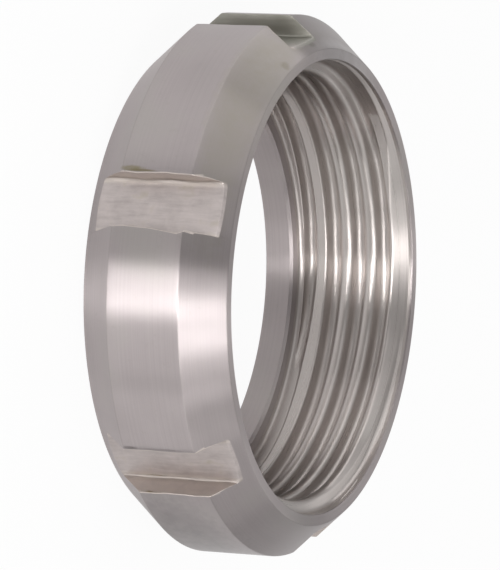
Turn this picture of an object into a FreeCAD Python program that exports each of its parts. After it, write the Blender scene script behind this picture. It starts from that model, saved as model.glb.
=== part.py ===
import math
import os

import FreeCAD, Part

# Slotted round union nut with an internal round-form thread, lying on its back face
# Origin at the middle of the back face, threaded mouth towards +Z, millimetres

# Outside: a straight band between a chamfer at the back and a cone at the front
outer_d = 84.0
height = 23.7
back_chamfer_w = 5.2
back_chamfer_h = 6.3
front_cone_w = 5.1
front_cone_h = 5.7

# Spanner slots round the rim, milled along the axis
slot_count = 6
slot_width = 8.9
slot_depth = 3.6

# Metal left between the floor of a slot and the root of the thread
floor_wall = 3.19

# Internal round-form thread, right hand
threads_per_inch = 6.0
flank_half_angle = 15.0
crest_flat = 0.3
groove_height_at_x = 4.15
crest_chords = 2
root_chords = 3

# Where the threading tool starts to leave the metal, seen from above, and the radius of its way out
runout_angle = -153.0
runout_r = 28.0

# Mouth: a counterbore clear of the roots, then a lead-in down to the crests
counterbore_clearance = 0.24
counterbore_depth = 1.5
lead_in_h = 1.1

# Lip inside the back face with its broken edge, and the shallow relief and round corner above it
lip_thickness = 4.6
lip_overhang = 2.5
lip_edge = 0.45
relief_width = 2.4
relief_depth = 0.5
corner_round = 0.8
corner_chords = 3

# How far a cutter runs past what it cuts
overrun = 0.6

# Radii and heights that follow from the values above
outer_r = outer_d / 2
back_face_r = outer_r - back_chamfer_w
front_face_r = outer_r - front_cone_w
slot_floor_r = outer_r - slot_depth
pitch = 25.4 / threads_per_inch
thread_depth = 0.5 * pitch
major_r = slot_floor_r - floor_wall
minor_r = major_r - thread_depth
lip_bore_r = minor_r - lip_overhang
relief_r = minor_r + relief_depth
relief_top = lip_thickness + relief_width
corner_top = lip_thickness + corner_round
counterbore_r = major_r + counterbore_clearance
counterbore_z = height - counterbore_depth
lead_in_z = counterbore_z - lead_in_h

# Rounds of the thread: each touches both flanks of a sharp triangle whose tip is an apex height away
tan_flank = math.tan(math.radians(flank_half_angle))
tan_corner = math.tan(math.radians(45 - flank_half_angle / 2))
sharp_depth = pitch / (2 * tan_flank)
root_apex = (sharp_depth - thread_depth) / 2 - 0.05 * pitch
crest_apex = (sharp_depth - thread_depth) / 2 + 0.05 * pitch
root_r = root_apex * tan_flank / tan_corner
crest_r = (crest_apex * tan_flank - crest_flat / 2) / tan_corner


def point(r, z):
    return FreeCAD.Vector(r, 0, z)


def turned_blank():
    """The ring as it comes off the lathe, bored to the thread's minor radius above the lip."""
    points = [point(lip_bore_r, 0)]
    points.append(point(back_face_r, 0))
    points.append(point(outer_r, back_chamfer_h))
    points.append(point(outer_r, height - front_cone_h))
    points.append(point(front_face_r, height))
    points.append(point(counterbore_r, height))
    points.append(point(counterbore_r, counterbore_z))
    points.append(point(minor_r, lead_in_z))
    points.append(point(minor_r, relief_top))
    points.append(point(relief_r, relief_top))
    for i in range(corner_chords + 1):
        turn = math.radians(90 * i / corner_chords)
        r = relief_r - corner_round * (1 - math.cos(turn))
        points.append(point(r, corner_top - corner_round * math.sin(turn)))
    points.append(point(lip_bore_r + lip_edge, lip_thickness))
    points.append(point(lip_bore_r, lip_thickness - lip_edge))
    points.append(points[0])
    outline = Part.Face(Part.makePolygon(points))
    return outline.revolve(FreeCAD.Vector(0, 0, 0), FreeCAD.Vector(0, 0, 1), 360)


def groove_section():
    """One groove of the thread as a closed wire in the XZ plane.

    It leaves the crest flat over the crest's round, runs down the straight flank, goes round the root
    and comes back the same way. The rounds are drawn as short chords, so the swept faces stay ruled.
    """
    steepest = 90 - flank_half_angle
    crest_mid_z = (pitch - crest_flat) / 2
    lower_side = []
    for i in range(crest_chords + 1):
        turn = math.radians(steepest * i / crest_chords)
        r = minor_r + crest_r * (1 - math.cos(turn))
        lower_side.append((r, crest_r * math.sin(turn) - crest_mid_z))
    root = []
    for i in range(root_chords + 1):
        turn = math.radians(steepest * (2 * i / root_chords - 1))
        r = major_r - root_r * (1 - math.cos(turn))
        root.append((r, root_r * math.sin(turn)))
    upper_side = [(r, -z) for r, z in reversed(lower_side)]
    inside = [(minor_r - overrun, crest_mid_z), (minor_r - overrun, -crest_mid_z)]
    loop = lower_side + root + upper_side + inside
    return Part.makePolygon([point(r, z) for r, z in loop + loop[:1]])


def way_out():
    """The groove's fading end: the section turned about an axis nearer to the wall than the nut's own."""
    axis_x = major_r - runout_r
    outline = Part.Face(groove_section())
    return outline.revolve(FreeCAD.Vector(axis_x, 0, 0), FreeCAD.Vector(0, 0, 1), -75)


def cut_thread(nut):
    """Cuts the groove turn by turn along a right-hand helix, from its run-out to the counterbore."""
    helix = Part.makeHelix(pitch, pitch, minor_r)
    one_turn = Part.Wire(helix.Edges).makePipeShell([groove_section()], True, True)
    # The cutter stops just above the lip's round corner, and inside the counterbore
    floor_z = corner_top + corner_round / 16
    ceiling_z = counterbore_z + counterbore_depth / 4
    reach = Part.makeCylinder(major_r + overrun, ceiling_z - floor_z, FreeCAD.Vector(0, 0, floor_z))
    start_z = groove_height_at_x + pitch * (1 + runout_angle / 360)
    cutters = [(way_out(), start_z)]
    while start_z - pitch / 2 < ceiling_z:
        cutters.append((one_turn.copy(), start_z))
        start_z += pitch
    for cutter, z in cutters:
        cutter.translate(FreeCAD.Vector(0, 0, z))
        cutter.rotate(FreeCAD.Vector(0, 0, 0), FreeCAD.Vector(0, 0, 1), runout_angle)
        nut = nut.cut(cutter.common(reach))
    return nut


def cut_slots(nut):
    """Straight slots with parallel walls and flat floors, open outwards and through both cones."""
    slot = Part.makeBox(slot_depth + overrun, slot_width, height + 2 * overrun)
    slot.translate(FreeCAD.Vector(slot_floor_r, -slot_width / 2, -overrun))
    for i in range(slot_count):
        turned = slot.copy()
        turned.rotate(FreeCAD.Vector(0, 0, 0), FreeCAD.Vector(0, 0, 1), i * 360 / slot_count)
        nut = nut.cut(turned)
    return nut


os.makedirs("parts", exist_ok=True)
nut = cut_slots(cut_thread(turned_blank()))
locknut = nut.Solids[0]
print("solids", len(nut.Solids), "valid", locknut.isValid(), "volume mm3", round(locknut.Volume, 1))
print("box", locknut.BoundBox)
print("thread crest radius", round(minor_r, 3), "root radius", round(major_r, 3), "pitch", round(pitch, 4))
print("lip bore radius", round(lip_bore_r, 3), "counterbore radius", round(counterbore_r, 3))
locknut.exportStep("parts/locknut.step")
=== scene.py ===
# %% [markdown]
# # A slotted round union nut in turned stainless steel
#
# The nut couples two pipe ends by hand or with a hook spanner: six slots are milled round a turned
# ring, and a coarse round-form thread runs inside it. The measured model of the nut is loaded first
# and stays as it is. This file gives it the surface that the eye expects: soft edges, the round
# thread, the marks that the lathe and the milling cutter left, and a light to see them in.

# %% Load the measured model
import math

import bpy
import numpy as np
from mathutils import Matrix, Vector


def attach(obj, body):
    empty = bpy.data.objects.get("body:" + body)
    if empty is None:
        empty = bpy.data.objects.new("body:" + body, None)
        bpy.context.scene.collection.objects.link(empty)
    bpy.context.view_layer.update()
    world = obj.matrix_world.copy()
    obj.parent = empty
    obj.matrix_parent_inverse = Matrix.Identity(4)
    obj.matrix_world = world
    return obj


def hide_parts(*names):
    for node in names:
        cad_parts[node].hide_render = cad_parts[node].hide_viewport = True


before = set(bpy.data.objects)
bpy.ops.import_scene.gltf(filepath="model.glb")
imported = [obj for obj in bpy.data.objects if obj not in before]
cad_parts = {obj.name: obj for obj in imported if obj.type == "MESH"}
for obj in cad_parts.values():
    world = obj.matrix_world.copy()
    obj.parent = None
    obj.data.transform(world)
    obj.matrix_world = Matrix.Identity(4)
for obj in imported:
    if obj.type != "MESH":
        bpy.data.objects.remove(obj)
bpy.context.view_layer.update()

# %% [markdown]
# ## Sizes
#
# A maker reads these off the drawing. They are in millimetres, as on the drawing, and each is used
# below wherever that size matters, so that the surface stays on the solid that it dresses. Angles
# round the axis start at the middle of the first slot.

# %% The drawing's sizes
HEIGHT = 23.7
OUTER_R = 42.0
BACK_FACE_R = 36.8
BACK_CHAMFER_H = 6.3
FRONT_FACE_R = 36.9
FRONT_CONE_H = 5.7

SLOT_COUNT = 6
SLOT_HALF_WIDTH = 4.45
SLOT_FLOOR_R = 38.4
SECTOR = 2 * math.pi / SLOT_COUNT

# The thread's root lies one wall's thickness inside the slots' floors
FLOOR_WALL = 3.19
PITCH = 25.4 / 6
MAJOR_R = SLOT_FLOOR_R - FLOOR_WALL
MINOR_R = MAJOR_R - PITCH / 2
FLANK_DEGREES = 15
CREST_FLAT = 0.3
CREST_SHIFT = 0.05 * PITCH
GROOVE_HEIGHT_AT_X = 4.15
DRAWN_TURNS = 6

# The tool's way out of the metal above the lip, and the turns over which the crest stayed flat
RUNOUT_ANGLE = math.radians(207)
RUNOUT_LENGTH = math.radians(42)
RUNOUT_R = 28.0
FLAT_CREST_TURNS = 0.9
TOPPING_TURNS = 0.3

# The mouth: a low wall and the lead-in below it
MOUTH_R = MAJOR_R + 0.04
MOUTH_Z = HEIGHT - 0.7
LEAD_IN_Z = MOUTH_Z - 2.1

# The thread's blunt start: between which degrees, from which turn on, how wide and how far up
START_DEGREES = (218, 248, 305, 330)
START_TURNS = 3.0
START_R = MAJOR_R - 0.15
START_TOP = (START_TURNS + 0.5) * PITCH + 0.25

LIP_THICKNESS = 4.6
LIP_CHAMFER = 0.45
LIP_BORE_R = MINOR_R - 2.5
CORNER_ROUND = 0.8
CORNER_TOP = LIP_THICKNESS + CORNER_ROUND
THREAD_FLOOR = CORNER_TOP + 0.05
RELIEF_R = MINOR_R + 0.5
RELIEF_TOP = 7.0
RELIEF_SLOPE = 0.25
print("thread", round(MINOR_R, 3), "to", round(MAJOR_R, 3), "mm radius, pitch", round(PITCH, 3))

# %% [markdown]
# ## The rim seen from the front
#
# Seen along its axis the nut is a circle with six square notches. One column of mesh points stands
# on each point of that outline. Columns crowd where the outline turns: in the notch's corners and
# over the lug's edges, which a file has just taken the sharpness off. Every column also has an
# angle on the inner circle, from which it fans out to the rim, so that the same columns serve the
# bore.

# %% Outline of half a slot and half a lug
FOOT_BREAK = 0.5
LUG_BREAK = 0.18
# Columns on the slot's floor, its foot, its wall, the lug's edge and the lug. Each stretch shares
# its first column with the one before it
ON_FLOOR, ON_FOOT, ON_WALL, ON_EDGE, ON_LUG = 8, 4, 5, 4, 20
# The degrees on the inner circle between which foot, wall and edge fan out
FAN = (6.32, 6.95, 8.35, 9.2)


def bend(start, corner, end, steps):
    """A quadratic Bezier curve: it leaves start towards corner and arrives at end from corner."""
    w = np.linspace(0, 1, steps + 1)[:, None]
    return (1 - w) ** 2 * start + 2 * w * (1 - w) * corner + w**2 * end


def half_sector():
    """From the middle of a slot to the middle of the next lug: points on the rim, angles inside.

    The slot's floor is the line x = floor radius, its wall the line y = half width, and the lug is
    an arc of the outer circle. The two corners between them are small bends.
    """
    floor_y = np.linspace(0, SLOT_HALF_WIDTH - FOOT_BREAK, ON_FLOOR)
    floor = np.column_stack([np.full(ON_FLOOR, SLOT_FLOOR_R), floor_y])
    foot_corner = np.array([SLOT_FLOOR_R, SLOT_HALF_WIDTH])
    foot = bend(floor[-1], foot_corner, foot_corner + [FOOT_BREAK, 0], ON_FOOT - 1)

    wall_angle = math.asin(SLOT_HALF_WIDTH / OUTER_R)
    lug_corner = np.array([OUTER_R * math.cos(wall_angle), SLOT_HALF_WIDTH])
    wall_x = np.linspace(SLOT_FLOOR_R + FOOT_BREAK, lug_corner[0] - LUG_BREAK, ON_WALL)
    wall = np.column_stack([wall_x, np.full(ON_WALL, SLOT_HALF_WIDTH)])

    arc = np.linspace(wall_angle + LUG_BREAK / OUTER_R, SECTOR / 2, ON_LUG)
    lug = OUTER_R * np.column_stack([np.cos(arc), np.sin(arc)])
    lug_edge = bend(wall[-1], lug_corner, lug[0], ON_EDGE - 1)
    rim = np.vstack([floor, foot[1:], wall[1:], lug_edge[1:], lug[1:]])

    stretches = zip(FAN, FAN[1:], (ON_FOOT, ON_WALL, ON_EDGE))
    fanned = [np.radians(np.linspace(*stretch))[1:] for stretch in stretches]
    on_lug = np.linspace(math.radians(FAN[-1]), SECTOR / 2, ON_LUG)[1:]
    inside = np.concatenate([np.arctan2(floor[:, 1], floor[:, 0]), *fanned, on_lug])
    return rim, inside


def shares(values):
    """One value per column of the half sector: the given ones from the foot's first column on."""
    column = np.zeros(len(rim_half))
    column[ON_FLOOR - 1 : ON_FLOOR - 1 + len(values)] = values
    return column


rim_half, inside_half = half_sector()
# How much of a column belongs to the slot's wall, and how much to the foot of that wall
wall_half = shares([0.2, 0.5, 0.8] + [1.0] * 8 + [0.8, 0.4, 0.15])
foot_half = shares([0.8, 1.0, 0.9, 0.4])
# Which faces between two columns the cutter made: all up to the last column of the lug's edge,
# where three columns are shared and faces are one fewer than columns
milled_half = np.arange(len(rim_half) - 1) < ON_FLOOR + ON_FOOT + ON_WALL + ON_EDGE - 3 - 1
print("columns in half a sector", len(rim_half) - 1, "of them milled", int(milled_half.sum()))

# %% Carry the half sector round the ring
def turned(points, angle):
    """Points turned about the axis by an angle."""
    c, s = math.cos(angle), math.sin(angle)
    return points @ np.array([[c, s], [-s, c]])


def whole_ring():
    """Six sectors: each half is followed by its mirror image about the middle of the lug."""
    mirror = turned(rim_half[::-1] * [1, -1], SECTOR)
    rim_one = np.vstack([rim_half[:-1], mirror[:-1]])
    inside_one = np.concatenate([inside_half[:-1], SECTOR - inside_half[::-1][:-1]])
    rim = np.vstack([turned(rim_one, k * SECTOR) for k in range(SLOT_COUNT)])
    inside = np.concatenate([inside_one + k * SECTOR for k in range(SLOT_COUNT)])
    return np.vstack([rim, rim[:1]]), np.append(inside, 2 * math.pi)


def round_ring(half):
    """One value per column, carried round like the columns and closed by the first one."""
    one = np.concatenate([half[:-1], half[::-1][:-1]])
    return np.append(np.tile(one, SLOT_COUNT), one[0])


rim, inside = whole_ring()
wall_share = round_ring(wall_half)
foot_share = round_ring(foot_half)
milled = np.tile(np.concatenate([milled_half, milled_half[::-1]]), SLOT_COUNT)
# The last column is the first one again, to the last digit
COS, SIN = np.cos(inside), np.sin(inside)
COS[-1], SIN[-1] = 1.0, 0.0
print("columns round the ring", len(milled))

# %% [markdown]
# ## The outside, from the back face to the front face
#
# The outside is drawn as rows that run round the ring. On the two cones a row lies on a straight
# line between the face's circle and the rim, and its height comes from its radius alone, so the
# cones stay true where the slots cut through them. A short bend of five rows replaces every edge.

# %% Rows of the two cones and the rim
BREAK = 0.12
ON_CONE = 4
ON_RIM = 13
BACK_RISE = BACK_CHAMFER_H / (OUTER_R - BACK_FACE_R)
FRONT_RISE = -FRONT_CONE_H / (OUTER_R - FRONT_FACE_R)
ROWS = []
WEAR = []
PART = []
# The parts of the surface that are told apart later
FACES, BACK_CONE, RIM, FRONT_CONE, MOUTH, THREAD, LIP = range(7)


def add_rows(xyz, wear=0.0, part=FACES):
    """Adds rows of shape (rows, columns, 3) to the surface, with their wear and their part."""
    ROWS.append(xyz)
    WEAR.append(np.broadcast_to(np.asarray(wear, float).reshape(-1, 1), xyz.shape[:2]))
    PART.append(np.full(len(xyz), part))


def circle(radius, z):
    """One row: a circle at the columns' inner angles."""
    r = np.broadcast_to(radius, inside.shape)
    return np.stack([r * COS, r * SIN, np.broadcast_to(z, inside.shape)], -1)


def edge(before, corner, after, part=FACES, steps=4):
    """A broken edge: every column bends from before, past corner, to after."""
    w = np.linspace(0, 1, steps + 1)[:, None, None]
    bright = 1 - np.abs(2 * w - 1)
    add_rows((1 - w) ** 2 * before + 2 * w * (1 - w) * corner + w**2 * after, bright, part)


def between(low, high, count, part):
    """Rows spaced evenly between two rows, without the two themselves."""
    w = np.linspace(0, 1, count + 2)[1:-1, None, None]
    add_rows((1 - w) * low + w * high, 0.0, part)


def on_cone(xy, face_r, face_z, rise):
    """Points in plan, lifted onto the cone: z = face's z + (radius - face's radius) rise."""
    z = face_z + (np.hypot(xy[..., 0], xy[..., 1]) - face_r) * rise
    return np.concatenate([xy, z[..., None]], -1)


def cone_rows(face_r, face_z, rise, outward):
    """The rows of one cone, between the two rows where the edges beside it begin."""
    start = circle(face_r, face_z)[:, :2]
    way = rim - start
    way = way / np.linalg.norm(way, axis=1, keepdims=True)
    near, far = start + BREAK * way, rim - BREAK * way
    w = np.linspace(0, 1, ON_CONE + 2)[1:-1, None, None]
    if not outward:
        w = w[::-1]
    rows = on_cone((1 - w) * near + w * far, face_r, face_z, rise)
    return on_cone(near, face_r, face_z, rise), rows, on_cone(far, face_r, face_z, rise)


back_near, back_rows, back_far = cone_rows(BACK_FACE_R, 0.0, BACK_RISE, True)
front_near, front_rows, front_far = cone_rows(FRONT_FACE_R, HEIGHT, FRONT_RISE, False)
rim_low = on_cone(rim, BACK_FACE_R, 0.0, BACK_RISE)
rim_high = on_cone(rim, FRONT_FACE_R, HEIGHT, FRONT_RISE)
lift = np.array([0, 0, BREAK])

edge(circle(BACK_FACE_R - BREAK, 0.0), circle(BACK_FACE_R, 0.0), back_near)
add_rows(back_rows, part=BACK_CONE)
edge(back_far, rim_low, rim_low + lift, RIM)
between(rim_low + lift, rim_high - lift, ON_RIM, RIM)
edge(rim_high - lift, rim_high, front_far, RIM)
add_rows(front_rows, part=FRONT_CONE)
edge(front_near, circle(FRONT_FACE_R, HEIGHT), circle(FRONT_FACE_R - BREAK, HEIGHT))
print("outside rows", sum(len(r) for r in ROWS))

# %% [markdown]
# ## The round thread
#
# The thread is the round form of dairy and food unions: crests and roots are arcs, joined by flanks
# that lean 15 degrees. Its section is drawn once as radius against height. Each row of the thread
# then keeps its place on that section and climbs one pitch per turn, so the rows follow the helix
# and every crest stays crisp. After one turn a row meets the row one pitch further on.

# %% Section of one thread
CREST_POINTS = 6
ROOT_POINTS = 5


def thread_section():
    """Height and radius over one pitch, from a crest over the root to the next crest.

    Root and crest arcs turn from 0 to 75 degrees: radius changes by r (1 - cos a), height by
    r sin a. The flanks are the straight lines between their ends. The third column is the radius
    with a flat crest, where the flanks run on to the bore: the larger of the bore's and theirs.
    """
    steep = math.radians(90 - FLANK_DEGREES)
    tan_flank = math.tan(math.radians(FLANK_DEGREES))
    tan_corner = math.tan(math.radians(45 - FLANK_DEGREES / 2))
    spare = (PITCH / (2 * tan_flank) - PITCH / 2) / 2
    root_r = (spare - CREST_SHIFT) * tan_flank / tan_corner
    crest_r = ((spare + CREST_SHIFT) * tan_flank - CREST_FLAT / 2) / tan_corner
    crest_z = (PITCH - CREST_FLAT) / 2
    a = np.linspace(0, steep, CREST_POINTS)
    crest = np.column_stack([-crest_z + crest_r * np.sin(a), MINOR_R + crest_r * (1 - np.cos(a))])
    b = np.linspace(-steep, 0, ROOT_POINTS)
    root = np.column_stack([root_r * np.sin(b), MAJOR_R - root_r * (1 - np.cos(b))])
    flank = 0.5 * (crest[-1:] + root[:1])
    half = np.vstack([crest, flank, root])
    on_flank = crest[-1, 1] + (half[:, 0] - crest[-1, 0]) / tan_flank
    plain = np.where(half[:, 1] < crest[-1, 1], np.maximum(on_flank, MINOR_R), half[:, 1])
    half = np.column_stack([half, plain])
    return np.vstack([half, half[::-1][1:] * [-1, 1, 1]])


section = thread_section()
print("points over one pitch", len(section))

# %% [markdown]
# ## Where the thread ends
#
# Above the lip the threading tool swings out of the metal, and the first crest there was never
# topped, so it stays flat. At the mouth the lead-in cuts the last crest down to a feather edge.
# That edge would cut a hand, so it is taken off over about a quarter of a turn: a blunt start.

# %% What the tools do at both ends
def leave_metal(radius, past):
    """Where a point of the groove is once the tool swings out, past the run-out angle.

    The tool's point keeps its own distance s from an axis that stands d off the nut's own, so its
    radius on the nut is d cos a + sqrt(s^2 - d^2 sin^2 a), and never less than the bore's.
    """
    d = MAJOR_R - RUNOUT_R
    a = np.maximum(past, 0)
    reach = np.maximum((radius - d) ** 2 - (d * np.sin(a)) ** 2, 0)
    return np.where(past > 0, np.maximum(d * np.cos(a) + np.sqrt(reach), MINOR_R), radius)


def bored_radius(z):
    """The bore before threading: a shallow relief above the lip, then the thread's minor radius."""
    w = np.clip((z - RELIEF_TOP) / RELIEF_SLOPE + 0.5, 0, 1)
    return RELIEF_R + (MINOR_R - RELIEF_R) * w


def blunt_start(radius, local):
    """The radius without the feather edge: minor radius + (start radius - minor radius) share."""
    share = np.interp(np.degrees(inside), START_DEGREES, [0.0, 1.0, 1.0, 0.0])
    taken_off = (local > START_TURNS * PITCH) & (local < START_TOP) & (share > 0)
    return np.where(taken_off, np.maximum(radius, MINOR_R + (START_R - MINOR_R) * share), radius)


def lead_in(radius, z):
    """The cone that widens from the crests to the mouth, wherever it is wider than the thread."""
    cone = MINOR_R + (z - LEAD_IN_Z) / (MOUTH_Z - LEAD_IN_Z) * (MOUTH_R - MINOR_R)
    return np.where(z > LEAD_IN_Z, np.maximum(radius, cone), radius)


print("lead-in from height", round(LEAD_IN_Z, 3), "to", round(MOUTH_Z, 3))

# %% The thread's rows
def thread_rows():
    """Rows that climb one pitch per turn, from the run-out above the lip to the mouth's wall."""
    local = np.concatenate([section[:, 0] + k * PITCH for k in range(DRAWN_TURNS)])
    # The last row starts a little above the mouth's wall, so that the first column reaches it too
    keep = local + GROOVE_HEIGHT_AT_X <= MOUTH_Z + PITCH / 8
    local = local[keep][:, None]
    round_r = np.tile(section[:, 1], DRAWN_TURNS)[keep][:, None]
    flat_r = np.tile(section[:, 2], DRAWN_TURNS)[keep][:, None]
    climb = PITCH * inside / (2 * math.pi)
    z = GROOVE_HEIGHT_AT_X + local + climb
    first = local < PITCH / 2
    crest_turn = np.floor(local / PITCH) + inside / (2 * math.pi)
    topped = np.clip((crest_turn - FLAT_CREST_TURNS) / TOPPING_TURNS, 0, 1)
    past = np.where(first, RUNOUT_ANGLE - inside, -1.0)
    r = leave_metal(flat_r + (round_r - flat_r) * topped, past)

    # Before the run-out the plain wall's rows fan out of one point, where the last column ends
    spread = np.clip(inside / (RUNOUT_ANGLE - RUNOUT_LENGTH), 0, 1)
    z = np.where(first & (z > THREAD_FLOOR), THREAD_FLOOR + (z - THREAD_FLOOR) * spread, z)

    # Points below the thread's floor are lifted onto it, at the radius that the groove has there
    floor_local = THREAD_FLOOR - GROOVE_HEIGHT_AT_X - climb
    floor_r = np.interp(floor_local, section[:, 0], section[:, 2], left=MINOR_R)
    floor_r = leave_metal(floor_r, RUNOUT_ANGLE - inside)
    below = z < THREAD_FLOOR
    z = np.where(below, THREAD_FLOOR, z)
    r = np.maximum(np.where(below, floor_r, r), bored_radius(z))

    # Rows that climb past the lead-in run along its upper edge, where they are welded together
    z = np.minimum(z, MOUTH_Z)
    r = lead_in(blunt_start(r, local), z)
    return np.stack([r * COS, r * SIN, z], -1)


climbing = thread_rows()
print("thread rows", len(climbing))

# %% [markdown]
# ## The bore, from the mouth back to the lip
#
# A low wall behind the front face and a lead-in of about 45 degrees guide the mating part onto the
# thread. At the thread's far end the boring tool needs room to stop, so a relief is turned there,
# and behind it stands the lip that pushes on the liner. The rows run down through these and close
# the ring at the back face.

# %% Mouth, thread, relief and lip
INNER_BREAK = 0.15


def straight(start, end, count, part):
    """Rows spaced evenly on a line in the section. Its ends are given as radius and height."""
    for w in np.linspace(0, 1, count):
        r, z = (a + w * (b - a) for a, b in zip(start, end))
        add_rows(circle(r, z)[None], 0.0, part)


# Offsets of a few tenths keep the straight rows clear of the bends beside them
straight((FRONT_FACE_R - 0.4, HEIGHT), (MOUTH_R + 0.4, HEIGHT), 3, FACES)
mouth_corner = circle(MOUTH_R, HEIGHT)
edge(circle(MOUTH_R + INNER_BREAK, HEIGHT), mouth_corner, circle(MOUTH_R, HEIGHT - INNER_BREAK))
straight((MOUTH_R, HEIGHT - 0.3), (MOUTH_R, MOUTH_Z + 0.1), 3, MOUTH)
add_rows(climbing[::-1], part=THREAD)

# The shoulder down to the relief. Its last column steps down at once, as its first does, so that
# the seam closes
relief_row = circle(RELIEF_R, THREAD_FLOOR)
between(climbing[0], relief_row, 2, LIP)
ROWS[-1][:, -1] = relief_row[-1]
add_rows(relief_row[None], part=LIP)

corner = circle(RELIEF_R, LIP_THICKNESS)
corner_end_r = RELIEF_R - CORNER_ROUND
edge(circle(RELIEF_R, CORNER_TOP), corner, circle(corner_end_r, LIP_THICKNESS), LIP, 6)
chamfer_r, chamfer_z = LIP_BORE_R + LIP_CHAMFER, LIP_THICKNESS - LIP_CHAMFER
straight((corner_end_r - 0.2, LIP_THICKNESS), (chamfer_r, LIP_THICKNESS), 4, LIP)
quarter = 0.25 * LIP_CHAMFER
straight((chamfer_r - quarter, LIP_THICKNESS - quarter), (LIP_BORE_R, chamfer_z), 4, LIP)
straight((LIP_BORE_R, LIP_THICKNESS - 0.9), (LIP_BORE_R, 0.5), 4, LIP)
lip_corner = circle(LIP_BORE_R, 0)
edge(circle(LIP_BORE_R, INNER_BREAK), lip_corner, circle(LIP_BORE_R + INNER_BREAK, 0))
straight((LIP_BORE_R + 0.5, 0), (BACK_FACE_R - 0.6, 0), 4, FACES)

grid = np.concatenate(ROWS)
wear = np.concatenate(WEAR)
part = np.concatenate(PART)
print("grid", grid.shape, "rows by columns")

# %% [markdown]
# ## Marks of the milling cutter
#
# A long cutter gives way a little, so the walls of the slots aren't quite straight: each wavers in
# its own way. One wall of the first slot leans in and carries a thick burr, which is torn back near
# the front cone. The walls and their feet also get a number each, with which the finish later
# paints
# the walls lighter and their feet darker: painted light and painted shade.

# %% Waver, lean and burr of the slots' walls
# Height and length of the two waves
WAVES = ((0.07, 8.1), (0.035, 3.1))
# How far the first slot's torn wall stands off its nominal place, by height
BURR_Z = (0, 6, 8, 12.6, 15, 17.4, 18.2, 20.5, HEIGHT)
BURR = (-0.5, -0.5, -0.7, -0.45, -0.1, 0.25, -0.35, -0.5, -0.5)
outside = np.isin(part, (BACK_CONE, RIM, FRONT_CONE))[:, None]


def milled_edges(grid):
    """Moves the slots' walls along the rim by the sum of a sin(2 pi z / length + phase).

    Each wall has phases of its own, and the torn wall follows its table instead. The move fades
    out over the last millimetre before the two faces.
    """
    nearest = np.round(inside / SECTOR)
    side = np.sign(inside - nearest * SECTOR)
    slot = nearest.astype(int) % SLOT_COUNT
    phases = np.random.default_rng(7).uniform(0, 2 * math.pi, (SLOT_COUNT, 3, 2))
    phase = phases[slot, side.astype(int) + 1]
    z = grid[..., 2]
    waves = [a * np.sin(2 * math.pi * z / s + phase[:, i]) for i, (a, s) in enumerate(WAVES)]
    torn = (slot == 0) & (side > 0)
    shift = np.where(torn, np.interp(z, BURR_Z, BURR), sum(waves) * side)
    shift = shift * wall_share * outside * np.clip(z, 0, 1) * np.clip(HEIGHT - z, 0, 1)
    middle = slot * SECTOR
    along = np.stack([-np.sin(middle), np.cos(middle), 0 * middle], -1)
    return grid + shift[..., None] * along


grid = milled_edges(grid)
# The share of wall and foot per point: the finish paints light on the walls and shade at their feet
# with it
wall_and_foot = np.where(outside, wall_share + foot_share, 0.0)
print("largest share of wall and foot", float(wall_and_foot.max()))

# %% [markdown]
# ## One closed skin
#
# The grid is joined to itself both ways, like a doughnut. Points that fall on one another, such as
# the rows that the relief cuts off, are welded, and faces that have shrunk to nothing are dropped.

# %% Weld the grid into faces
def weld(grid):
    """Faces of a grid that closes on itself: quads, and triangles where one side shrank."""
    rows, columns = grid.shape[:2]
    rounded = np.round(grid.reshape(-1, 3), 4) + 0.0
    points, place = np.unique(rounded, axis=0, return_inverse=True)
    number = place.reshape(rows, columns)
    above = np.roll(number, -1, axis=0)
    quads = np.stack([number[:, :-1], number[:, 1:], above[:, 1:], above[:, :-1]], -1)
    row, column = np.indices(quads.shape[:2])
    quads, row, column = quads.reshape(-1, 4), row.ravel(), column.ravel()
    same = quads == np.roll(quads, -1, axis=1)
    shrunk = same.sum(1)
    whole, three = shrunk == 0, shrunk == 1
    triangles = quads[three][~same[three]].reshape(-1, 3)
    order = np.concatenate([np.flatnonzero(whole), np.flatnonzero(three)])
    return points, place, quads[whole], triangles, row[order], column[order]


points, place, quads, triangles, face_row, face_column = weld(grid)
print("points", len(points), "quads", len(quads), "triangles", len(triangles))

# %% Make the mesh
SHARP_ANGLE = math.radians(32)
nut_mesh = bpy.data.meshes.new("slotted_nut")
nut_mesh.from_pydata((points / 1000).tolist(), [], quads.tolist() + triangles.tolist())
nut_mesh.update()


def store(name, values):
    """Keeps a number per point for the materials: the largest one that was welded into it."""
    largest = np.zeros(len(points))
    np.maximum.at(largest, place, values.ravel())
    stored = nut_mesh.attributes.new(name, "FLOAT", "POINT")
    stored.data.foreach_set("value", largest.astype(np.float32))


store("edge_wear", wear)
store("wall_and_foot", wall_and_foot)
nut_mesh.shade_smooth()
nut_mesh.set_sharp_from_angle(angle=SHARP_ANGLE)
nut = bpy.data.objects.new("slotted_nut", nut_mesh)
bpy.context.scene.collection.objects.link(nut)
print("mesh faces", len(nut_mesh.polygons))

# %% Soften the thread's edges
# Inside the thread no edge is sharp, also not where the crests run into the lead-in
loop_edges = np.zeros(len(nut_mesh.loops), np.int32)
nut_mesh.loops.foreach_get("edge_index", loop_edges)
uses = np.bincount(loop_edges, minlength=len(nut_mesh.edges))
corners = np.concatenate([np.full(len(quads), 4), np.full(len(triangles), 3)])
in_thread = np.repeat(part[face_row] == THREAD, corners)
threaded = np.bincount(loop_edges, in_thread, len(nut_mesh.edges)) == uses
sharp = np.zeros(len(nut_mesh.edges), bool)
nut_mesh.attributes["sharp_edge"].data.foreach_get("value", sharp)
nut_mesh.attributes["sharp_edge"].data.foreach_set("value", sharp & ~threaded)
print("sharp edges", int(sharp.sum()), "of them softened", int((sharp & threaded).sum()))
print("edges with other than two faces", int((uses != 2).sum()))
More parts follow.
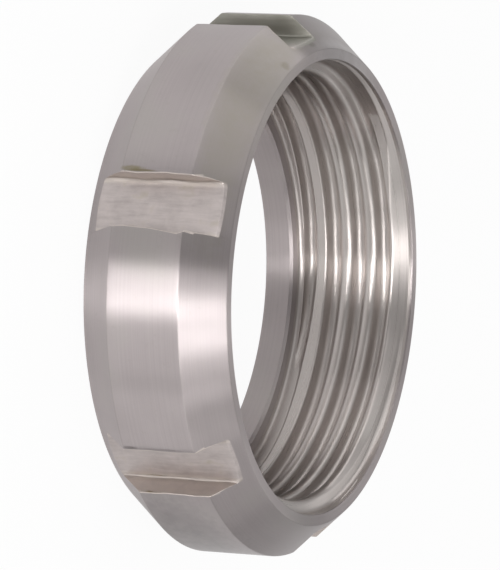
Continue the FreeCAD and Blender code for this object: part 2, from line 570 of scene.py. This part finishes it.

# %% [markdown]
# ## The finish of turned steel
#
# A lathe leaves fine rings, so the metal is smooth along a ring and rough across it. The shader's
# anisotropy says exactly that, with a tangent that runs round the axis, and it draws a lamp out
# into a bar across the band. The rings themselves come from noise that reads only radius and
# height. Over them lie a few ragged ovals where oil dried or a tool knocked, and patches of painted
# shade and painted light, which darken one lug and lighten the front face by another.

# %% Helpers for the node trees
class Tree:
    """A few short words for building a material's nodes. Places are in millimetres."""

    def __init__(self, name):
        self.material = bpy.data.materials.new(name)
        self.material.use_nodes = True
        self.nodes = self.material.node_tree.nodes
        self.links = self.material.node_tree.links
        self.shader = self.nodes["Principled BSDF"]
        scale = self.nodes.new("ShaderNodeVectorMath")
        scale.operation = "SCALE"
        self.put(scale.inputs[0], self.nodes.new("ShaderNodeTexCoord").outputs["Object"])
        scale.inputs["Scale"].default_value = 1000.0
        self.place = scale.outputs[0]
        split = self.nodes.new("ShaderNodeSeparateXYZ")
        self.put(split.inputs[0], self.place)
        self.x, self.y, self.z = split.outputs

    def put(self, socket, value):
        """Links an output to a socket, or sets the socket's own value."""
        if isinstance(value, bpy.types.NodeSocket):
            self.links.new(value, socket)
        else:
            socket.default_value = value

    def math(self, operation, a, b=0.0):
        node = self.nodes.new("ShaderNodeMath")
        node.operation = operation
        self.put(node.inputs[0], a)
        self.put(node.inputs[1], b)
        return node.outputs[0]

    def plus(self, a, b):
        return self.math("ADD", a, b)

    def minus(self, a, b):
        return self.math("SUBTRACT", a, b)

    def times(self, a, b):
        return self.math("MULTIPLY", a, b)

    def length(self, a, b):
        """The square root of a squared plus b squared."""
        return self.math("SQRT", self.plus(self.times(a, a), self.times(b, b)))

    def noise(self, vector, scale, detail=2.0, roughness=0.5, distortion=0.0):
        node = self.nodes.new("ShaderNodeTexNoise")
        self.put(node.inputs["Vector"], vector)
        node.inputs["Scale"].default_value = scale
        node.inputs["Detail"].default_value = detail
        node.inputs["Roughness"].default_value = roughness
        node.inputs["Distortion"].default_value = distortion
        return node.outputs["Fac"]

    def ramp(self, value, low, high, out_low=0.0, out_high=1.0):
        """A value between low and high, carried over to between out_low and out_high."""
        node = self.nodes.new("ShaderNodeMapRange")
        for socket, v in zip(node.inputs, (value, low, high, out_low, out_high)):
            self.put(socket, v)
        return node.outputs["Result"]

    def mix(self, factor, a, b):
        """Colour a where the factor is 0, colour b where it is 1."""
        node = self.nodes.new("ShaderNodeMix")
        node.data_type = "RGBA"
        self.put(node.inputs["Factor"], factor)
        self.put(node.inputs["A"], a if isinstance(a, bpy.types.NodeSocket) else (*a, 1.0))
        self.put(node.inputs["B"], b if isinstance(b, bpy.types.NodeSocket) else (*b, 1.0))
        return node.outputs["Result"]

    def vector(self, x, y, z):
        node = self.nodes.new("ShaderNodeCombineXYZ")
        for socket, value in zip(node.inputs, (x, y, z)):
            self.put(socket, value)
        return node.outputs[0]

    def attribute(self, name):
        node = self.nodes.new("ShaderNodeAttribute")
        node.attribute_name = name
        return node.outputs["Fac"]

    def patch(self, azimuth, height, across, along):
        """A ragged oval at an azimuth and height, sized in mm: 1 in its middle, 0 outside."""
        c, s = math.cos(math.radians(azimuth)), math.sin(math.radians(azimuth))
        side = self.minus(self.times(self.y, c), self.times(self.x, s))
        front = self.plus(self.times(self.x, c), self.times(self.y, s))
        u = self.math("DIVIDE", side, across)
        v = self.math("DIVIDE", self.minus(self.z, height), along)
        ragged = self.plus(self.length(u, v), self.times(self.noise(self.place, 1.1, 3.0), 0.8))
        oval = self.ramp(ragged, 0.9, 1.5, 1.0, 0.0)
        return self.times(oval, self.math("GREATER_THAN", front, 0.0))

    def bump(self, height, distance, strength):
        node = self.nodes.new("ShaderNodeBump")
        self.put(node.inputs["Height"], height)
        node.inputs["Distance"].default_value = distance
        node.inputs["Strength"].default_value = strength
        self.links.new(node.outputs[0], self.shader.inputs["Normal"])


print("helpers ready")

# %% Turned steel
RING_LIGHT, RING_DARK = (0.450, 0.402, 0.405), (0.365, 0.328, 0.326)
WARM_CLOUD, DRY_SPOT = (0.395, 0.372, 0.352), (0.33, 0.305, 0.275)
WORN_EDGE = (0.33, 0.30, 0.29)
RINGS_PER_MM = 3.0


def toned(colour, tone, tint=(1.0, 1.0, 1.0)):
    """A colour made lighter or darker, and tinted."""
    return tuple(tone * c * k for c, k in zip(colour, tint))


def turned_steel(name, roughness, across, tone=1.0, stains_and_painted_light=(), tint=(1.0, 1.0, 1.0)):
    """Rings of noise in radius and height tint the metal, vary its roughness and raise a bump.

    Each stain, and each patch of painted light and shade, is an azimuth in degrees, a height and
    two half sizes in mm, a colour and how strong it is.
    """
    t = Tree(name)
    radius = t.length(t.x, t.y)
    ring_place = t.vector(t.times(radius, RINGS_PER_MM), t.times(t.z, RINGS_PER_MM), 0.0)
    rings = t.noise(ring_place, 1.0, 4.0, 0.7)
    broad = t.noise(t.place, 0.06, 3.0, 0.55)
    fine = t.noise(t.place, 0.9, 3.0, 0.6)
    shade = t.plus(t.times(rings, 0.5), t.times(broad, 0.5))
    dark, light = toned(RING_DARK, tone, tint), toned(RING_LIGHT, tone, tint)
    body = t.mix(t.ramp(shade, 0.35, 0.65), dark, light)
    body = t.mix(t.ramp(broad, 0.5, 0.68, 0.0, 0.6), body, toned(WARM_CLOUD, tone))
    body = t.mix(t.ramp(fine, 0.62, 0.8, 0.0, 0.35), body, toned(DRY_SPOT, tone))
    mottle = t.noise(t.place, 0.55, 5.0, 0.65)
    # Laid over the rings: stains, and patches of painted light and painted shade where the list has
    # them
    for azimuth, height, half_across, half_along, colour, strength in stains_and_painted_light:
        spread = t.patch(azimuth, height, half_across, half_along)
        amount = t.times(spread, t.ramp(mottle, 0.35, 0.65, 0.55 * strength, strength))
        body = t.mix(amount, body, colour)
    body = t.mix(t.times(t.attribute("edge_wear"), 0.4), body, WORN_EDGE)
    t.put(t.shader.inputs["Base Color"], body)
    t.shader.inputs["Metallic"].default_value = 1.0
    t.put(t.shader.inputs["Roughness"], t.ramp(rings, 0.3, 0.7, roughness - 0.04, roughness + 0.04))
    t.shader.inputs["Anisotropic"].default_value = across
    t.shader.inputs["Anisotropic Rotation"].default_value = 0.25
    tangent = t.nodes.new("ShaderNodeTangent")
    tangent.direction_type = "RADIAL"
    tangent.axis = "Z"
    t.links.new(tangent.outputs[0], t.shader.inputs["Tangent"])
    t.bump(rings, 0.00002, 0.35)
    return t.material


OUTSIDE_STAINS_AND_PAINTED_LIGHT = [
    # A warm cast over the front cone
    (-32, 20.8, 27, 3.6, (0.37, 0.338, 0.30), 0.9),
    # Painted shade, which darkens one lug, and painted light, which lightens the front face by
    # another
    (86, 9.0, 15, 9, (0.25, 0.230, 0.228), 0.8),
    (-80, 23.7, 12, 2.0, (0.56, 0.53, 0.53), 0.8),
    # Oil that dried along an edge of the first slot, and two dark lines along an edge of the slot
    # at 60 degrees
    (-7.0, 8.0, 0.50, 2.2, (0.27, 0.235, 0.14), 1.0),
    (-6.6, 9.6, 0.26, 2.8, (0.22, 0.185, 0.11), 0.9),
    (53.2, 7.4, 0.35, 1.3, (0.17, 0.155, 0.15), 1.0),
    (53.3, 12.5, 0.22, 4.6, (0.25, 0.225, 0.22), 0.8),
    # Two specks on the front cone
    (-46, 22.8, 1.0, 0.7, (0.25, 0.23, 0.17), 0.55),
    (-62.5, 22.6, 1.2, 0.5, (0.22, 0.205, 0.17), 0.6),
]
band_steel = turned_steel("turned_steel_outside", 0.34, 1.0, stains_and_painted_light=OUTSIDE_STAINS_AND_PAINTED_LIGHT)
# The bore gets a copy of the turned steel painted lighter by its tone of 1.27: painted light in the
# bore
lighter_bore_steel = turned_steel("turned_steel_bore_painted_lighter", 0.30, 0.9, tone=1.27, tint=(1.0, 1.028, 0.985))
print("turned finishes", band_steel.name, lighter_bore_steel.name)

# %% [markdown]
# ## The milled slots
#
# An end mill cuts the slots along the axis. It leaves fine streaks that way and a duller, paler
# floor, with cloudy patches. The walls are painted lighter, which is painted light, and the feet of
# the walls darker, which is painted shade.

# %% Milled steel
STREAK_LIGHT, STREAK_DARK = (0.53, 0.476, 0.463), (0.40, 0.358, 0.347)
# Painted light lightens the slots' walls and painted shade darkens their feet, in the colours below
OIL_CLOUD, PAINTED_WALL_LIGHT = (0.37, 0.33, 0.26), (0.565, 0.508, 0.468)
PAINTED_FOOT_SHADE, BRIGHT_EDGE = (0.36, 0.32, 0.295), (0.60, 0.55, 0.54)
SLOT_STAINS_AND_PAINTED_SHADE = [
    # A line of oil at the foot of a wall, and painted shade that darkens the slot at -60 degrees
    # all over
    (66.1, 7.8, 0.09, 1.9, (0.25, 0.21, 0.14), 0.9),
    (-64.0, 13.0, 8.0, 19.0, (0.31, 0.305, 0.27), 0.9),
]


def milled_steel():
    """Streaks along the axis and cloudy patches, rougher than the turned faces."""
    t = Tree("milled_steel_slots")
    streak_place = t.vector(t.times(t.x, 2.0), t.times(t.y, 2.0), t.times(t.z, 0.25))
    streaks = t.noise(streak_place, 1.0, 4.0, 0.6)
    cloud = t.noise(t.place, 0.35, 3.0, 0.6, 0.3)
    shade = t.plus(t.times(streaks, 0.5), t.times(cloud, 0.5))
    body = t.mix(t.ramp(shade, 0.35, 0.65), STREAK_DARK, STREAK_LIGHT)
    body = t.mix(t.ramp(cloud, 0.6, 0.75, 0.0, 0.5), body, OIL_CLOUD)
    wall_and_foot = t.attribute("wall_and_foot")
    # Painted light: the slots' walls are made lighter
    wall_light_amount = t.times(t.math("MINIMUM", wall_and_foot, 1.0), t.ramp(cloud, 0.35, 0.6, 0.45, 0.9))
    body = t.mix(wall_light_amount, body, PAINTED_WALL_LIGHT)
    # Painted shade: the feet of the walls are made darker
    body = t.mix(t.ramp(wall_and_foot, 0.9, 1.9, 0.0, 0.8), body, PAINTED_FOOT_SHADE)
    # Laid over the streaks: a stain, and painted shade over one slot
    for azimuth, height, half_across, half_along, colour, strength in SLOT_STAINS_AND_PAINTED_SHADE:
        spread = t.patch(azimuth, height, half_across, half_along)
        body = t.mix(t.times(spread, strength), body, colour)
    body = t.mix(t.times(t.attribute("edge_wear"), 0.12), body, BRIGHT_EDGE)
    t.put(t.shader.inputs["Base Color"], body)
    t.shader.inputs["Metallic"].default_value = 1.0
    t.put(t.shader.inputs["Roughness"], t.ramp(streaks, 0.3, 0.7, 0.42, 0.56))
    t.bump(shade, 0.00008, 0.5)
    return t.material


slot_steel = milled_steel()
print("milled finish", slot_steel.name)

# %% Give each face its finish
# The lip's top and bore were turned like the outside, so the bore's finish ends above them
for finish in (band_steel, slot_steel, lighter_bore_steel):
    nut_mesh.materials.append(finish)
in_slot = (part[face_row] == RIM) & milled[face_column]
face_top = np.max(grid[..., 2], axis=1)[face_row]
in_bore = (part[face_row] >= MOUTH) & (face_top > LIP_THICKNESS + 0.02)
finish_index = np.where(in_slot, 1, np.where(in_bore, 2, 0)).astype(np.int32)
nut_mesh.polygons.foreach_set("material_index", finish_index)
nut_mesh.update()
print("faces by finish", np.bincount(finish_index).tolist())

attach(nut, "root")
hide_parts("locknut")

# %% [markdown]
# ## Floor and light
#
# The nut lies on a plain white floor. The floor shows white to the camera and in the metal, and
# keeps a soft shadow. Large soft lamps light it: one low in front, which draws the bright bar on
# the band, and wide ones above.

# %% The floor
FLOOR_HALF = 6
FLOOR_GREY = (0.8, 0.8, 0.8, 1)
floor_mesh = bpy.data.meshes.new("floor")
floor_corners = [(-FLOOR_HALF, -FLOOR_HALF, 0), (FLOOR_HALF, -FLOOR_HALF, 0)]
floor_corners += [(FLOOR_HALF, FLOOR_HALF, 0), (-FLOOR_HALF, FLOOR_HALF, 0)]
floor_mesh.from_pydata(floor_corners, [], [(0, 1, 2, 3)])
floor = bpy.data.objects.new("floor", floor_mesh)
bpy.context.scene.collection.objects.link(floor)


def seen_white(tree, shader, to_camera, to_metal):
    """Mixes white into a surface: one share for the camera, one for reflections and glass."""
    nodes, links = tree.nodes, tree.links
    path = nodes.new("ShaderNodeLightPath")
    white_share = {
        "Is Camera Ray": to_camera,
        "Is Glossy Ray": to_metal,
        "Is Transmission Ray": to_metal,
    }
    share = None
    for ray, white in white_share.items():
        more = nodes.new("ShaderNodeMath")
        more.operation = "MULTIPLY_ADD"
        more.use_clamp = True
        links.new(path.outputs[ray], more.inputs[0])
        more.inputs[1].default_value = white
        more.inputs[2].default_value = 0.0
        if share is not None:
            links.new(share, more.inputs[2])
        share = more.outputs[0]
    glow = nodes.new("ShaderNodeEmission")
    glow.inputs["Strength"].default_value = 1.0
    blend = nodes.new("ShaderNodeMixShader")
    links.new(share, blend.inputs[0])
    links.new(shader, blend.inputs[1])
    links.new(glow.outputs[0], blend.inputs[2])
    return blend.outputs[0]


floor_paint = bpy.data.materials.new("white_floor")
floor_paint.use_nodes = True
floor_tree = floor_paint.node_tree
paint = floor_tree.nodes["Principled BSDF"]
paint.inputs["Base Color"].default_value = FLOOR_GREY
paint.inputs["Roughness"].default_value = 0.9
mixed = seen_white(floor_tree, paint.outputs[0], 0.93, 0.68)
floor_tree.links.new(mixed, floor_tree.nodes["Material Output"].inputs["Surface"])
floor_mesh.materials.append(floor_paint)
print("floor", floor.name)

# %% The world and the lamps
WORLD_LEVEL = 0.41
LAMP_TARGET = Vector((0, 0, 0.012))
CAMERA_PLACE = Vector((0.714492, 0.202425, 0.341732))
CAMERA_AZIMUTH = math.degrees(math.atan2(CAMERA_PLACE.y, CAMERA_PLACE.x))
# Azimuth from the camera's, elevation, distance, width, height, radiance
LAMPS = {
    "front_low_softbox": (4.6, 7, 0.55, 0.167, 0.13, 14.0),
    "front_middle_softbox": (12, 24, 0.8, 0.113, 0.24, 10.2),
    "front_side_softbox": (36, 24, 0.8, 0.113, 0.24, 2.5),
    "front_upper_softbox": (28, 46, 0.8, 0.166, 0.36, 4.6),
    "front_upper_fill": (12, 46, 0.8, 0.166, 0.36, 1.1),
    "high_softbox": (40, 68, 0.8, 0.13, 0.3, 1.0),
    "left_low_softbox": (60, 12, 1.0, 0.52, 0.5, 1.4),
    "left_high_softbox": (40, 42, 1.0, 0.54, 0.6, 1.5),
    "left_back_softbox": (100, 42, 1.0, 1.1, 0.6, 0.45),
    "back_softbox": (180, 42, 1.0, 1.1, 0.6, 0.6),
    "right_low_softbox": (-90, 12, 1.0, 1.8, 0.5, 1.15),
    "right_high_softbox": (-60, 42, 1.0, 1.1, 0.6, 0.5),
}


def studio_world(strength):
    """A plain grey room."""
    world = bpy.data.worlds.new("studio")
    world.use_nodes = True
    back = world.node_tree.nodes["Background"]
    back.inputs["Color"].default_value = (1, 1, 1, 1)
    back.inputs["Strength"].default_value = strength
    return world


def direction(azimuth, elevation):
    """The unit vector that points to an azimuth and an elevation, in degrees."""
    a, b = math.radians(azimuth), math.radians(elevation)
    return Vector((math.cos(a) * math.cos(b), math.sin(a) * math.cos(b), math.sin(b)))


def soft_lamp(name, azimuth, elevation, distance, width, tall, radiance):
    """A flat lamp aimed at the nut. A mirror would show its radiance: power = radiance pi area."""
    lamp = bpy.data.lights.new(name, "AREA")
    lamp.shape = "RECTANGLE"
    lamp.size, lamp.size_y = width, tall
    lamp.energy = radiance * math.pi * width * tall
    away = direction(azimuth, elevation)
    body = bpy.data.objects.new(name, lamp)
    body.location = LAMP_TARGET + distance * away
    body.rotation_euler = away.to_track_quat("Z", "Y").to_euler()
    body.visible_camera = False
    bpy.context.scene.collection.objects.link(body)


bpy.context.scene.world = studio_world(WORLD_LEVEL)
for name, (azimuth, *rest) in LAMPS.items():
    soft_lamp(name, CAMERA_AZIMUTH + azimuth, *rest)

# %% [markdown]
# ## The camera
#
# The photograph looks down on the ring's plane by 24 degrees from about 0.8 m and is turned on its
# side, so that the axis points to the right of the picture. The lens is long, which keeps the far
# side of the ring nearly as large as the near side.

# %% Camera
RIGHT = Vector((-0.377053, -0.160135, 0.912243))
UP = Vector((0.292049, -0.955249, -0.046973))
BACK = Vector((0.878942, 0.248708, 0.406947))
camera_data = bpy.data.cameras.new("photo_camera")
camera_data.sensor_width = 36.0
camera_data.lens = 330.16
camera = bpy.data.objects.new("photo_camera", camera_data)
turn = Matrix((RIGHT, UP, BACK)).transposed()
camera.matrix_world = Matrix.Translation(CAMERA_PLACE) @ turn.to_4x4()
bpy.context.scene.collection.objects.link(camera)
bpy.context.scene.camera = camera
bpy.context.scene.view_settings.view_transform = "Standard"
print("camera at", [round(c, 3) for c in CAMERA_PLACE])
